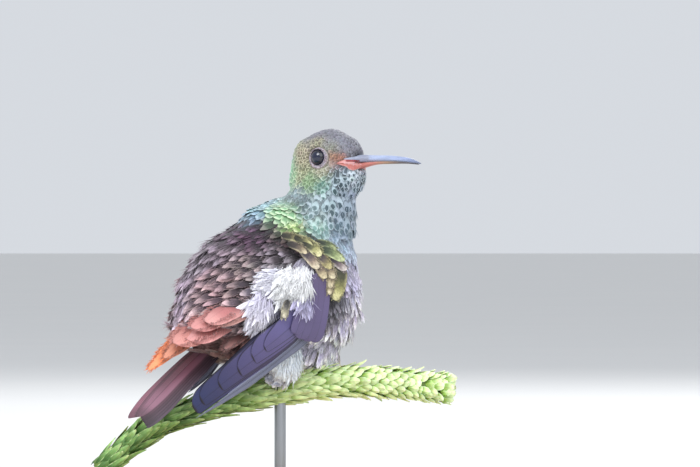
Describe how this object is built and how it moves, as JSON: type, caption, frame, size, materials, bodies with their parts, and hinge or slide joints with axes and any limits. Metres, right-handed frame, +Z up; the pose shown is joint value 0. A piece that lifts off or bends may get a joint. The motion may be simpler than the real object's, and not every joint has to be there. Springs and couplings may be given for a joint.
{
  "type": "hummingbird",
  "caption": "Life-size hummingbird with fluffed plumage, perched along a cut flower spike that a round base and one rod hold up.",
  "frame": {"origin": "the centre of the display stand's underside, so the part rests on z = 0", "axes": "+Z up; +X the way the bird looks along the perch, with its body turned 27 degrees from +X towards +Y and its head 38 degrees towards -Y"},
  "size_m": [0.1023, 0.084, 0.1028],
  "materials": {
    "feathers_head": "satin",
    "feathers_neck": "satin",
    "feathers_body": "matte",
    "wing_coverts": "satin",
    "wing_feathers": "satin",
    "tail_feathers": "satin",
    "tail_covert_feathers": "matte",
    "down": "matte",
    "eye": "gloss",
    "eyelid": "matte",
    "bill_upper": "satin",
    "bill_lower": "satin",
    "foot_skin": "matte",
    "spike": "satin",
    "stand_wood": "satin",
    "stand_steel": "satin"
  },
  "bodies": {
    "root": {"head": "feathers_head", "neck": "feathers_neck", "trunk": "feathers_body", "bill_upper": "bill_upper", "bill_lower": "bill_lower", "eye_right": "eye", "eye_left": "eye", "tail": "tail_feathers", "tail_coverts": "tail_covert_feathers", "thigh_right": "down", "foot_right": "foot_skin", "thigh_left": "down", "foot_left": "foot_skin", "perch": "spike", "stand_base": "stand_wood", "stand_rod": "stand_steel", "wing_right_coverts": "wing_coverts", "wing_right_secondaries": "wing_feathers", "wing_right_primaries": "wing_feathers", "wing_left_coverts": "wing_coverts", "wing_left_secondaries": "wing_feathers", "wing_left_primaries": "wing_feathers"}
  },
  "joints": []
}
